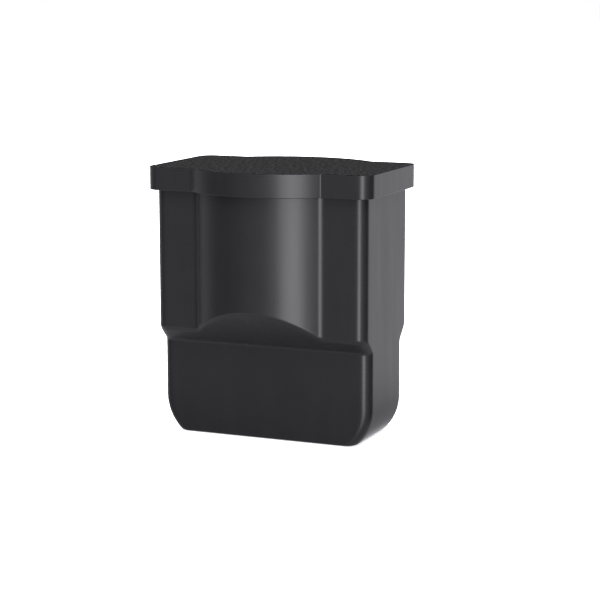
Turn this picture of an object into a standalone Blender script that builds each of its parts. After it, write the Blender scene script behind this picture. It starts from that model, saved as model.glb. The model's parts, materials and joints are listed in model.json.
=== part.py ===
"""Push-lid trash compactor bin, metres, +Z up, origin under its middle on the floor.

A slim box-shaped housing swells into a round bulge at the front and the back. A lift-out
bucket hangs in it, and a deep cap lid carries the ram: a column, a sprung rod and a press
plate that fills the bucket's mouth. Pressing the lid down presses the rubbish.
"""
import math

import bmesh
import bpy
from mathutils import Matrix

for leftover in list(bpy.data.objects):
    bpy.data.objects.remove(leftover, do_unlink=True)

# ---------------------------------------------------------------- driving dimensions
BODY_WIDTH = 0.2800        # housing, left to right
BODY_DEPTH = 0.1514        # housing above the shoulder, without the bulges
BODY_HEIGHT = 0.3380       # housing's underside to the lid's top
UPPER_HEIGHT = 0.2037      # shoulder's upper edge to the lid's top
SHOULDER_STEP = 0.0171     # how far the lower part is set back, front and rear
SHOULDER_DROP = 0.0172     # height of the shoulder's slope
BODY_CORNER = 0.0128       # radius of the upright corners
LOWER_RADIUS = 0.0610      # radius of the two lower ends, seen from the front
LOWER_CENTRE = 0.0460      # height of that radius' centre above the underside
BULGE_RADIUS = 0.1300      # radius of the front and rear bulges
BULGE_REACH = 0.0300       # how far a bulge stands out of the flat front
BULGE_FILLET = 0.0160      # hollow fillet between bulge and flat

HOUSING_WALL = 0.0028
BUCKET_WALL = 0.0020
BUCKET_CLEARANCE = 0.0012  # bucket's outside to housing's inside
TOUCH = 0.0003             # gap left between pieces that touch
FIT = 0.0003               # radial clearance of what slides or slips in

LID_OVERHANG = 0.0089      # lid's outside past the housing's outside
LID_RIM = 0.0292           # height of the lid's rim
LID_CORNER = 0.0162
LID_FILLET = 0.0035
LID_WALL = 0.0026
LID_TOP = 0.0030
LID_EDGE = 0.0007          # small bevel round the lid's top
HOUSING_DROP = 0.0200      # lid's top down to the housing's rim

FLANGE_THICK = 0.0025      # bucket's flange
RING_THICK = 0.0020        # bag ring's flange
RING_SKIRT = 0.0015        # bag ring's skirt wall
RING_DEPTH = 0.0170        # bag ring's skirt below its flange
RING_INSET = 0.0005
SEAL_THICK = 0.0031
SEAL_WIDTH = 0.0050
SEAL_INSET = 0.0010
PANEL_THICK = 0.0030
PANEL_GAP = 0.0005

FOOT_RADIUS = 0.0090
FOOT_THICK = 0.0025
FOOT_PROUD = 0.0010        # feet below the underside
FOOT_CHAMFER = 0.0010
FOOT_INSET_X = 0.0300      # foot's centre from the end of the flat underside
FOOT_INSET_Y = 0.0180      # foot's centre from the housing's front and back
REST_THICK = 0.0018
REST_WIDTH = 0.0140
REST_LENGTH = 0.0800
GRIP_WIDTH = 0.0700        # finger notch in the housing's side rims
GRIP_DEPTH = 0.0080

PLATE_ABOVE = 0.0075       # press plate's underside above the top of the bulge's underside
PLATE_THICK = 0.0030
PLATE_SKIRT = 0.0200
PLATE_WALL = 0.0026
PLATE_RIB = 0.0026
PLATE_RIB_HEIGHT = 0.0120
WIPER_WIDTH = 0.0022
WIPER_HEIGHT = 0.0080
WIPER_CLEARANCE = 0.0005   # wiper to bag ring's skirt
WIPER_RISE = 0.0050        # wiper above the plate's underside
BOSS_WALL = 0.0060
BOSS_HEIGHT = 0.0280       # boss above the plate's underside
PIN_RADIUS = 0.0025
PIN_RISE = 0.0190          # cross pin above the plate's underside

ROD_RADIUS = 0.0140
ROD_WALL = 0.0020
ROD_IN_TUBE = 0.0404       # rod's top above the column tube's lower end
BUSH_WALL = 0.0014         # between rod and tube
TUBE_WALL = 0.0020
RAM_FLOAT = 0.0250         # how far the ram gives against its spring
CAP_WALL = 0.0030
CAP_FLOOR = 0.0040
CAP_HEIGHT = 0.0160
COLLAR_HEIGHT = 0.0080
BUSH_HEIGHT = 0.0100
SPRING_WIRE = 0.0020       # wire diameter
SPRING_TURNS = 7
FLANGE_DISC = 0.0040
FLANGE_EDGE = 0.0080       # flange's rim past its screws' circle
FLANGE_SCREW_GAP = 0.0022  # screw heads to the socket
SOCKET_WALL = 0.0040
SOCKET_HEIGHT = 0.0145
PAD_EDGE = 0.0040          # thick middle of the lid's inner panel, past the flange

SCREW_HEAD_RADIUS = 0.0035
SCREW_HEAD_HEIGHT = 0.0022
SCREW_HEAD_FLAT = 0.0026   # radius of the flat on top of the head
SCREW_RADIUS = 0.0014
SCREW_END = 0.0015         # screw's tip short of its hole's end
BOSS_RADIUS = 0.0040
PANEL_SCREW_INSET_X = 0.0320
PANEL_SCREW_INSET_Y = 0.0257

FILTER_TO_SCREWS = 0.0085  # filter frame to the panel screws' heads
FILTER_HEIGHT = 0.0180
FILTER_WALL = 0.0020
FILTER_TO_FLANGE = 0.0090  # filter frame to the column's flange
FILTER_TO_RING = 0.0022    # door's tab to the bag ring
DOOR_THICK = 0.0020
DOOR_SLOT_WIDTH = 0.0030
DOOR_SLOT_PITCH = 0.0090
HINGE_RADIUS = 0.0025      # hinge barrel, outside
HINGE_PIN = 0.0010
LUG_WIDTH = 0.0060
TAB_WIDTH = 0.0180
TAB_REACH = 0.0050
VENT_WIDTH = 0.0030
VENT_PITCH = 0.0110
SLOT_END = 0.0140          # vents and door slots stop this far from the filter's sides
SLOT_MARGIN = 0.0080       # left free at the filter's ends

# ---------------------------------------------------------------- smoothness
BULGE_STEPS = 7            # from a bulge's middle to its fillet
FILLET_STEPS = 3
CORNER_STEPS = 4
LOWER_STEPS = 6
ROUND_STEPS = 32
SPRING_TURN_STEPS = 12
WIRE_STEPS = 8
SMOOTH_ANGLE = math.radians(35)
EDGE_ANGLE = math.radians(50)

# ---------------------------------------------------------------- sizes worked out
UNDERSIDE = FOOT_PROUD
TOP = UNDERSIDE + BODY_HEIGHT
RIM_BOTTOM = TOP - LID_RIM
HOUSING_RIM = TOP - HOUSING_DROP
FLANGE_LOW = HOUSING_RIM + TOUCH
FLANGE_TOP = FLANGE_LOW + FLANGE_THICK
RING_LOW = FLANGE_TOP + TOUCH
RING_TOP = RING_LOW + RING_THICK
SEAL_LOW = RING_TOP + TOUCH
PANEL_LOW = SEAL_LOW + SEAL_THICK + TOUCH
PANEL_TOP = PANEL_LOW + PANEL_THICK
LID_CEILING = TOP - LID_TOP
UNDER_PANEL = PANEL_LOW - TOUCH
SHOULDER_TOP = BODY_HEIGHT - UPPER_HEIGHT
PLATE_LOW = UNDERSIDE + SHOULDER_TOP + BULGE_REACH * SHOULDER_DROP / SHOULDER_STEP + PLATE_ABOVE
BUCKET_FLOOR = UNDERSIDE + HOUSING_WALL + REST_THICK + 2 * TOUCH
BUCKET_OUT = HOUSING_WALL + BUCKET_CLEARANCE
BUCKET_IN = BUCKET_OUT + BUCKET_WALL
RING_OUT = BUCKET_IN + FIT
RING_IN = RING_OUT + RING_SKIRT
WIPER_OUT = RING_IN + WIPER_CLEARANCE
PLATE_OUT = WIPER_OUT + WIPER_WIDTH + TOUCH

HALF_WIDTH = BODY_WIDTH / 2
HALF_DEPTH = BODY_DEPTH / 2
HALF_LOWER = HALF_DEPTH - SHOULDER_STEP
BULGE_CENTRE = BULGE_RADIUS - BULGE_REACH - HALF_DEPTH

TUBE_RADIUS = ROD_RADIUS + 2 * FIT + BUSH_WALL + TUBE_WALL
FLANGE_SCREW_CIRCLE = TUBE_RADIUS + FIT + SOCKET_WALL + SCREW_HEAD_RADIUS + FLANGE_SCREW_GAP
FLANGE_RADIUS = FLANGE_SCREW_CIRCLE + FLANGE_EDGE
PAD_RADIUS = FLANGE_RADIUS + PAD_EDGE
PANEL_SCREW_X = HALF_WIDTH - PANEL_SCREW_INSET_X
PANEL_SCREW_Y = HALF_DEPTH - PANEL_SCREW_INSET_Y
PANEL_SCREW_MIDDLE = PANEL_SCREW_Y + BULGE_REACH
FILTER_LOW_X = RING_IN + FILTER_TO_RING + TAB_REACH - HALF_WIDTH
FILTER_HIGH_X = -FLANGE_RADIUS - FILTER_TO_FLANGE
FILTER_WIDTH = 2 * (PANEL_SCREW_Y - SCREW_HEAD_RADIUS - FILTER_TO_SCREWS)
SLOT_LENGTH = FILTER_WIDTH - 2 * SLOT_END


# ---------------------------------------------------------------- outlines
def arc(centre, radius, start, end, steps):
    """Points along an arc, both ends included."""
    points = []
    for step in range(steps + 1):
        angle = start + (end - start) * step / steps
        points.append((centre[0] + radius * math.cos(angle), centre[1] + radius * math.sin(angle)))
    return points


def front_right(half_width, half_depth, corner, bulge_radius, fillet):
    """The front right quarter of the outline, from the bulge's middle to the side."""
    from_centre = BULGE_CENTRE + half_depth + fillet
    fillet_x = math.sqrt((bulge_radius + fillet) ** 2 - from_centre ** 2)
    turn = math.atan2(fillet_x, from_centre)
    bulge = arc((0, BULGE_CENTRE), bulge_radius, -math.pi / 2, -math.pi / 2 + turn, BULGE_STEPS)
    hollow = arc((fillet_x, -half_depth - fillet), fillet, math.pi / 2 + turn, math.pi / 2, FILLET_STEPS)
    middle = (half_width - corner, corner - half_depth)
    rounding = arc(middle, corner, -math.pi / 2, 0, CORNER_STEPS)
    return bulge + hollow[1:] + rounding


def all_round(quarter):
    """The whole outline from its front right quarter, anticlockwise from above."""
    rear_right = [(x, -y) for x, y in reversed(quarter)]
    rear_left = [(-x, -y) for x, y in quarter[1:]]
    front_left = [(-x, y) for x, y in reversed(quarter[1:])]
    return quarter + rear_right + rear_left + front_left


def body_outline(inset):
    """Outline of the housing above its shoulder, moved inwards by inset."""
    corner = max(BODY_CORNER - inset, BODY_CORNER / 4)
    return all_round(front_right(HALF_WIDTH - inset, HALF_DEPTH - inset, corner,
                                 BULGE_RADIUS - inset, BULGE_FILLET + inset))


def lid_outline(inset):
    """Outline of the lid, moved inwards by inset."""
    grow = LID_OVERHANG - inset
    return all_round(front_right(HALF_WIDTH + grow, HALF_DEPTH + grow, LID_CORNER - inset,
                                 BULGE_RADIUS + grow, LID_FILLET + inset))


def lower_outline(inset, half_width):
    """Outline below the shoulder: the same columns of points, without the bulge."""
    corner = max(BODY_CORNER - inset, BODY_CORNER / 4)
    quarter = front_right(HALF_WIDTH - inset, HALF_DEPTH - inset, corner,
                          BULGE_RADIUS - inset, BULGE_FILLET + inset)
    squeeze = (half_width - corner) / (HALF_WIDTH - inset - corner)
    straight = [(x * squeeze, inset - HALF_LOWER) for x, y in quarter[:-CORNER_STEPS - 1]]
    middle = (half_width - corner, corner - HALF_LOWER + inset)
    return all_round(straight + arc(middle, corner, -math.pi / 2, 0, CORNER_STEPS))


def at_height(outline, height):
    return [(x, y, height) for x, y in outline]


def body_rings(inset, floor, top):
    """Rings of the housing's form, moved inwards by inset, from its floor to its top."""
    rings = []
    radius = LOWER_RADIUS - inset
    centre = UNDERSIDE + LOWER_CENTRE
    last = math.asin(min(1.0, (centre - floor) / radius))
    for step in range(LOWER_STEPS + 1):
        turn = last * (1 - step / LOWER_STEPS)
        half_width = HALF_WIDTH - inset - radius * (1 - math.cos(turn))
        rings.append(at_height(lower_outline(inset, half_width), centre - radius * math.sin(turn)))
    slope = SHOULDER_DROP / SHOULDER_STEP
    lift = inset * (math.hypot(SHOULDER_DROP, SHOULDER_STEP) - SHOULDER_DROP) / SHOULDER_STEP
    upper_edge = UNDERSIDE + SHOULDER_TOP + lift
    rings.append(at_height(lower_outline(inset, HALF_WIDTH - inset), upper_edge - SHOULDER_DROP))
    shoulder = []
    for x, y in body_outline(inset):
        past_flat = max(0.0, abs(y) - (HALF_DEPTH - inset))
        shoulder.append((x, y, upper_edge + past_flat * slope))
    rings.append(shoulder)
    rings.append(at_height(body_outline(inset), top))
    return rings


def circle(x, y, radius, height, steps=ROUND_STEPS):
    ring = []
    for step in range(steps):
        angle = 2 * math.pi * step / steps
        ring.append((x + radius * math.cos(angle), y + radius * math.sin(angle), height))
    return ring


def rectangle(low_x, low_y, high_x, high_y, height):
    return at_height([(low_x, low_y), (high_x, low_y), (high_x, high_y), (low_x, high_y)], height)


# ---------------------------------------------------------------- solids
def material(name, colour, roughness, metallic):
    """A Principled material of one colour."""
    made = bpy.data.materials.new(name)
    made.use_nodes = True
    shader = made.node_tree.nodes["Principled BSDF"]
    shader.inputs["Base Color"].default_value = (*colour, 1)
    shader.inputs["Roughness"].default_value = roughness
    shader.inputs["Metallic"].default_value = metallic
    return made


def place(name, shape, finish):
    """Put a bmesh into the scene as a named object."""
    bmesh.ops.recalc_face_normals(shape, faces=shape.faces)
    mesh = bpy.data.meshes.new(name)
    shape.to_mesh(mesh)
    shape.free()
    mesh.shade_smooth()
    mesh.set_sharp_from_angle(angle=SMOOTH_ANGLE)
    if finish:
        mesh.materials.append(finish)
    made = bpy.data.objects.new(name, mesh)
    bpy.context.scene.collection.objects.link(made)
    return made


def loft(name, rings, finish, closed=False):
    """Skin rings of points, all of one count: capped at both ends, or closed on itself."""
    shape = bmesh.new()
    loops = [[shape.verts.new(point) for point in ring] for ring in rings]
    pairs = list(zip(loops, loops[1:]))
    if closed:
        pairs.append((loops[-1], loops[0]))
    else:
        shape.faces.new(loops[0])
        shape.faces.new(loops[-1])
    for low, high in pairs:
        for here in range(len(low)):
            after = (here + 1) % len(low)
            shape.faces.new((low[here], low[after], high[after], high[here]))
    return place(name, shape, finish)


def band(name, profile, outline, finish):
    """Carry a closed profile of (inset, height) round an outline."""
    return loft(name, [at_height(outline(inset), height) for inset, height in profile], finish, closed=True)


def turned(name, x, y, profile, finish, closed=True, steps=ROUND_STEPS):
    """Turn a profile of (radius, height) about an upright axis."""
    return loft(name, [circle(x, y, radius, height, steps) for radius, height in profile], finish, closed)


def box(name, low, high, finish):
    return loft(name, [rectangle(low[0], low[1], high[0], high[1], low[2]),
                       rectangle(low[0], low[1], high[0], high[1], high[2])], finish)


def lying_rod(name, x, z, low_y, high_y, radius, finish, steps=ROUND_STEPS // 2):
    """A round bar along Y."""
    shape = bmesh.new()
    turn = Matrix.Rotation(math.pi / 2, 4, "X")
    where = Matrix.Translation((x, (low_y + high_y) / 2, z))
    bmesh.ops.create_cone(shape, cap_ends=True, segments=steps, radius1=radius, radius2=radius,
                          depth=high_y - low_y, matrix=where @ turn)
    return place(name, shape, finish)


def combine(target, tool, operation):
    """Add or cut with a tool that itself stays out of the model."""
    tool.hide_render = True
    tool.display_type = "WIRE"
    step = target.modifiers.new(tool.name, "BOOLEAN")
    step.operation = operation
    step.object = tool


def rounded(target, width):
    """Small rounding of the sharp edges."""
    step = target.modifiers.new("edge", "BEVEL")
    step.width = width
    step.segments = 1
    step.limit_method = "ANGLE"
    step.angle_limit = EDGE_ANGLE


# ---------------------------------------------------------------- materials
black_plastic = material("black_plastic", (0.030, 0.030, 0.032), 0.45, 0.0)
grained_plastic = material("grained_plastic", (0.034, 0.034, 0.035), 0.60, 0.0)
grey_plastic = material("grey_plastic", (0.23, 0.24, 0.25), 0.50, 0.0)
black_rubber = material("black_rubber", (0.020, 0.020, 0.020), 0.80, 0.0)
white_acetal = material("white_acetal", (0.78, 0.77, 0.73), 0.35, 0.0)
aluminium = material("aluminium", (0.72, 0.73, 0.74), 0.30, 1.0)
steel = material("steel", (0.56, 0.56, 0.57), 0.28, 1.0)
charcoal_felt = material("charcoal_felt", (0.045, 0.045, 0.045), 0.95, 0.0)


# ---------------------------------------------------------------- housing
def make_housing():
    outer = body_rings(0, UNDERSIDE, HOUSING_RIM)
    inner = body_rings(HOUSING_WALL, UNDERSIDE + HOUSING_WALL, HOUSING_RIM)
    shell = loft("housing_shell", outer + inner[::-1], black_plastic)
    flat_end = max(x for x, y, z in outer[0])
    pocket_top = FOOT_THICK + TOUCH
    for side_x, right in ((-1, "left"), (1, "right")):
        for side_y, rear in ((-1, "front"), (1, "rear")):
            x = side_x * (flat_end - FOOT_INSET_X)
            y = side_y * (HALF_LOWER - FOOT_INSET_Y)
            foot = [(FOOT_RADIUS - FOOT_CHAMFER, 0), (FOOT_RADIUS, FOOT_CHAMFER), (FOOT_RADIUS, FOOT_THICK)]
            turned(f"foot_{rear}_{right}", x, y, foot, black_rubber, closed=False, steps=ROUND_STEPS // 2)
            pocket = turned(f"pocket_{rear}_{right}", x, y,
                            [(FOOT_RADIUS + FIT, -FOOT_PROUD), (FOOT_RADIUS + FIT, pocket_top)], None,
                            closed=False, steps=ROUND_STEPS // 2)
            combine(shell, pocket, "DIFFERENCE")
        rest_x = side_x * flat_end / 2
        rest_low = UNDERSIDE + HOUSING_WALL + TOUCH
        rest = box(f"bucket_rest_{right}", (rest_x - REST_WIDTH / 2, -REST_LENGTH / 2, rest_low),
                   (rest_x + REST_WIDTH / 2, REST_LENGTH / 2, rest_low + REST_THICK), black_rubber)
        rounded(rest, REST_THICK / 4)
        edge = side_x * HALF_WIDTH
        notch = box(f"notch_{right}", (edge - 2 * HOUSING_WALL, -GRIP_WIDTH / 2, HOUSING_RIM - GRIP_DEPTH),
                    (edge + 2 * HOUSING_WALL, GRIP_WIDTH / 2, HOUSING_RIM + GRIP_DEPTH), None)
        combine(shell, notch, "DIFFERENCE")


# ---------------------------------------------------------------- bucket and bag ring
def make_bucket():
    outer = body_rings(BUCKET_OUT, BUCKET_FLOOR, FLANGE_LOW)
    inner = body_rings(BUCKET_IN, BUCKET_FLOOR + BUCKET_WALL, FLANGE_TOP)
    flange = [at_height(body_outline(0), FLANGE_LOW), at_height(body_outline(0), FLANGE_TOP)]
    loft("bucket_shell", outer + flange + inner[::-1], grey_plastic)
    skirt_low = RING_LOW - RING_DEPTH
    profile = [(RING_INSET, RING_LOW), (RING_INSET, RING_TOP), (RING_IN, RING_TOP),
               (RING_IN, skirt_low), (RING_OUT, skirt_low), (RING_OUT, RING_LOW)]
    band("bag_ring", profile, body_outline, black_plastic)


# ---------------------------------------------------------------- lid
def screw_places():
    """Name, x and y of the screws that hold the panel to the lid."""
    places = []
    for side_x, right in ((-1, "left"), (1, "right")):
        for side_y, rear in ((-1, "front"), (1, "rear")):
            places.append((f"{rear}_{right}", side_x * PANEL_SCREW_X, side_y * PANEL_SCREW_Y))
    places.append(("front_middle", 0, -PANEL_SCREW_MIDDLE))
    places.append(("rear_middle", 0, PANEL_SCREW_MIDDLE))
    return places


def flange_screw_places():
    """Name, x and y of the screws that hold the column's flange to the panel."""
    side = FLANGE_SCREW_CIRCLE * math.sqrt(0.5)
    return [("front_left", -side, -side), ("front_right", side, -side),
            ("rear_left", -side, side), ("rear_right", side, side)]


def slot_places(pitch):
    """As many slots across the filter as its length takes, centred on it."""
    count = int((FILTER_HIGH_X - FILTER_LOW_X - 2 * SLOT_MARGIN) / pitch)
    middle = (FILTER_LOW_X + FILTER_HIGH_X) / 2
    return [middle + (spot - (count - 1) / 2) * pitch for spot in range(count)]


def make_screw(name, x, y, seat, tip):
    """Pan-head screw whose head sits below the face at height seat."""
    low = seat - TOUCH - SCREW_HEAD_HEIGHT
    rim = low + SCREW_HEAD_HEIGHT / 2
    profile = [(SCREW_RADIUS / 2, low + SCREW_HEAD_HEIGHT / 3), (SCREW_RADIUS, low),
               (SCREW_HEAD_FLAT, low), (SCREW_HEAD_RADIUS, rim), (SCREW_HEAD_RADIUS, seat - TOUCH),
               (SCREW_RADIUS, seat - TOUCH), (SCREW_RADIUS, tip - SCREW_RADIUS), (SCREW_RADIUS / 3, tip)]
    turned(name, x, y, profile, steel, closed=False, steps=ROUND_STEPS // 2)


def make_lid():
    form = [(LID_EDGE, TOP), (0, TOP - LID_EDGE), (0, RIM_BOTTOM),
            (LID_WALL, RIM_BOTTOM), (LID_WALL, LID_CEILING)]
    sections = [at_height(lid_outline(inset), height) for inset, height in form]
    lid = loft("lid_shell", sections, grained_plastic)
    boss_low = PANEL_TOP + TOUCH
    hole_top = LID_CEILING + LID_TOP / 3
    for spot, x, y in screw_places():
        boss_top = LID_CEILING + LID_TOP / 2
        boss = turned(f"boss_{spot}", x, y, [(BOSS_RADIUS, boss_low), (BOSS_RADIUS, boss_top)],
                      None, closed=False, steps=ROUND_STEPS // 2)
        combine(lid, boss, "UNION")
        hole = turned(f"pilot_{spot}", x, y, [(SCREW_RADIUS + FIT, boss_low - BOSS_RADIUS),
                                              (SCREW_RADIUS + FIT, hole_top)],
                      None, closed=False, steps=ROUND_STEPS // 2)
        combine(lid, hole, "DIFFERENCE")
        make_screw(f"panel_screw_{spot}", x, y, PANEL_LOW, hole_top - SCREW_END)
    seal_top = SEAL_LOW + SEAL_THICK
    lip = SEAL_LOW + SEAL_THICK / 3
    profile = [(SEAL_INSET, lip), (SEAL_INSET, seal_top), (SEAL_INSET + SEAL_WIDTH, seal_top),
               (SEAL_INSET + SEAL_WIDTH, lip), (SEAL_INSET + SEAL_WIDTH / 2, SEAL_LOW)]
    band("lid_seal", profile, body_outline, black_rubber)


def make_panel():
    """Inner panel of the lid, with a thick middle that takes the column's screws."""
    inset = LID_WALL + PANEL_GAP
    panel = loft("lid_panel", [at_height(lid_outline(inset), PANEL_LOW),
                               at_height(lid_outline(inset), PANEL_TOP)], black_plastic)
    pad_low = PANEL_LOW + PANEL_THICK / 2
    pad = turned("panel_pad", 0, 0, [(PAD_RADIUS, pad_low), (PAD_RADIUS, LID_CEILING - TOUCH)],
                 None, closed=False)
    combine(panel, pad, "UNION")
    for spot, x, y in screw_places():
        hole = turned(f"way_{spot}", x, y, [(SCREW_RADIUS + FIT, PANEL_LOW - PANEL_THICK),
                                            (SCREW_RADIUS + FIT, PANEL_TOP + PANEL_THICK)],
                      None, closed=False, steps=ROUND_STEPS // 2)
        combine(panel, hole, "DIFFERENCE")
    pilot_top = LID_CEILING - TOUCH - SCREW_END
    for spot, x, y in flange_screw_places():
        hole = turned(f"pad_way_{spot}", x, y, [(SCREW_RADIUS + FIT, PANEL_LOW - PANEL_THICK),
                                                (SCREW_RADIUS + FIT, pilot_top)],
                      None, closed=False, steps=ROUND_STEPS // 2)
        combine(panel, hole, "DIFFERENCE")
        make_screw(f"flange_screw_{spot}", x, y, UNDER_PANEL - FLANGE_DISC, pilot_top - SCREW_END)
    for spot, x in enumerate(slot_places(VENT_PITCH)):
        vent = box(f"vent_{spot}", (x - VENT_WIDTH / 2, -SLOT_LENGTH / 2, PANEL_LOW - PANEL_THICK),
                   (x + VENT_WIDTH / 2, SLOT_LENGTH / 2, PANEL_TOP + PANEL_THICK), None)
        combine(panel, vent, "DIFFERENCE")


# ---------------------------------------------------------------- column and ram
def make_column():
    """Flange, tube and end cap that hang under the lid and guide the ram's rod."""
    disc_low = UNDER_PANEL - FLANGE_DISC
    socket_low = disc_low - SOCKET_HEIGHT
    bore = TUBE_RADIUS + FIT
    flange = turned("column_flange", 0, 0,
                    [(FLANGE_RADIUS, UNDER_PANEL), (FLANGE_RADIUS, disc_low),
                     (bore + SOCKET_WALL, disc_low), (bore + SOCKET_WALL, socket_low),
                     (bore, socket_low), (bore, disc_low)],
                    aluminium, closed=False)
    for spot, x, y in flange_screw_places():
        hole = turned(f"flange_way_{spot}", x, y, [(SCREW_RADIUS + FIT, disc_low - FLANGE_DISC),
                                                   (SCREW_RADIUS + FIT, UNDER_PANEL + FLANGE_DISC)],
                      None, closed=False, steps=ROUND_STEPS // 2)
        combine(flange, hole, "DIFFERENCE")
    tube_top = disc_low - TOUCH
    cap_low = PLATE_LOW + BOSS_HEIGHT + RAM_FLOAT + 2 * TOUCH
    tube_low = cap_low + CAP_FLOOR + TOUCH
    inner = TUBE_RADIUS - TUBE_WALL
    turned("column_tube", 0, 0, [(TUBE_RADIUS, tube_low), (TUBE_RADIUS, tube_top), (inner, tube_top),
                                 (inner, tube_low)], aluminium)
    throat = ROD_RADIUS + FIT
    turned("column_end_cap", 0, 0,
           [(throat, cap_low), (bore + CAP_WALL, cap_low), (bore + CAP_WALL, cap_low + CAP_HEIGHT),
            (bore, cap_low + CAP_HEIGHT), (bore, cap_low + CAP_FLOOR), (throat, cap_low + CAP_FLOOR)],
           white_acetal)
    return tube_low, tube_top


def make_spring(low, high):
    """Coil spring between the rod's top bush and the column's flange."""
    middle = TUBE_RADIUS - TUBE_WALL - 2 * FIT - SPRING_WIRE / 2
    wire = SPRING_WIRE / 2
    start = low + wire
    rise = high - low - SPRING_WIRE
    steps = SPRING_TURNS * SPRING_TURN_STEPS
    rings = []
    for step in range(steps + 1):
        turn = 2 * math.pi * SPRING_TURNS * step / steps
        centre_z = start + rise * step / steps
        ring = []
        for side in range(WIRE_STEPS):
            angle = 2 * math.pi * side / WIRE_STEPS
            radius = middle + wire * math.cos(angle)
            height = centre_z + wire * math.sin(angle)
            ring.append((radius * math.cos(turn), radius * math.sin(turn), height))
        rings.append(ring)
    loft("ram_spring", rings, steel)


def make_ram(tube_low, tube_top):
    """Rod, its collar and bush, and the cross pin that holds the press plate."""
    rod_low = PLATE_LOW + PLATE_THICK + TOUCH
    rod_top = tube_low + ROD_IN_TUBE
    inner = ROD_RADIUS - ROD_WALL
    rod = turned("ram_rod", 0, 0, [(ROD_RADIUS, rod_low), (ROD_RADIUS, rod_top), (inner, rod_top),
                                   (inner, rod_low)], steel)
    sliding = TUBE_RADIUS - TUBE_WALL - FIT
    grip = ROD_RADIUS + FIT
    for name, low, height in (("rod_stop_collar", tube_low, COLLAR_HEIGHT),
                              ("rod_top_bush", rod_top - BUSH_HEIGHT, BUSH_HEIGHT)):
        turned(name, 0, 0, [(sliding, low), (sliding, low + height), (grip, low + height), (grip, low)],
               white_acetal)
    make_spring(rod_top + TOUCH, tube_top - TOUCH)
    pin_z = PLATE_LOW + PIN_RISE
    reach = ROD_RADIUS + FIT + BOSS_WALL
    lying_rod("plate_pin", 0, pin_z, -reach, reach, PIN_RADIUS, steel)
    way = lying_rod("pin_way", 0, pin_z, -2 * reach, 2 * reach, PIN_RADIUS + FIT, None)
    combine(rod, way, "DIFFERENCE")
    return way


def make_plate(pin_way):
    """Press plate: an upturned tray with ribs and a boss for the rod, and its wiper."""
    top = PLATE_LOW + PLATE_SKIRT
    floor = PLATE_LOW + PLATE_THICK
    plate = loft("press_plate", [at_height(body_outline(PLATE_OUT), PLATE_LOW),
                                 at_height(body_outline(PLATE_OUT), top),
                                 at_height(body_outline(PLATE_OUT + PLATE_WALL), top),
                                 at_height(body_outline(PLATE_OUT + PLATE_WALL), floor)], black_plastic)
    end_x = HALF_WIDTH - PLATE_OUT - PLATE_WALL / 2
    end_y = HALF_DEPTH + BULGE_REACH - PLATE_OUT - PLATE_WALL / 2
    sunk = PLATE_THICK / 2
    rib_top = floor + PLATE_RIB_HEIGHT
    rib_low = PLATE_LOW + sunk
    half_rib = PLATE_RIB / 2
    long_rib = box("rib_long", (-end_x, -half_rib, rib_low), (end_x, half_rib, rib_top), None)
    cross_rib = box("rib_cross", (-half_rib, -end_y, rib_low), (half_rib, end_y, rib_top), None)
    boss_radius = ROD_RADIUS + FIT + BOSS_WALL
    boss = turned("rod_boss", 0, 0, [(boss_radius, rib_low), (boss_radius, PLATE_LOW + BOSS_HEIGHT)],
                  None, closed=False)
    seat = turned("rod_seat", 0, 0, [(ROD_RADIUS + FIT, floor), (ROD_RADIUS + FIT, top + BOSS_HEIGHT)],
                  None, closed=False)
    for rib in (long_rib, cross_rib):
        combine(plate, rib, "UNION")
    for side_x, right in ((-1, "left"), (1, "right")):
        x = side_x * (HALF_WIDTH + boss_radius) / 2
        depth = HALF_DEPTH - PLATE_OUT - PLATE_WALL / 2
        side_rib = box(f"rib_{right}", (x - half_rib, -depth, rib_low), (x + half_rib, depth, rib_top), None)
        combine(plate, side_rib, "UNION")
    combine(plate, boss, "UNION")
    combine(plate, seat, "DIFFERENCE")
    combine(plate, pin_way, "DIFFERENCE")
    wiper_low = PLATE_LOW + WIPER_RISE
    wiper_top = wiper_low + WIPER_HEIGHT
    profile = [(WIPER_OUT, wiper_low), (WIPER_OUT + WIPER_WIDTH / 3, wiper_top),
               (WIPER_OUT + WIPER_WIDTH, wiper_top), (WIPER_OUT + WIPER_WIDTH, wiper_low)]
    band("plate_wiper", profile, body_outline, black_rubber)


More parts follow.
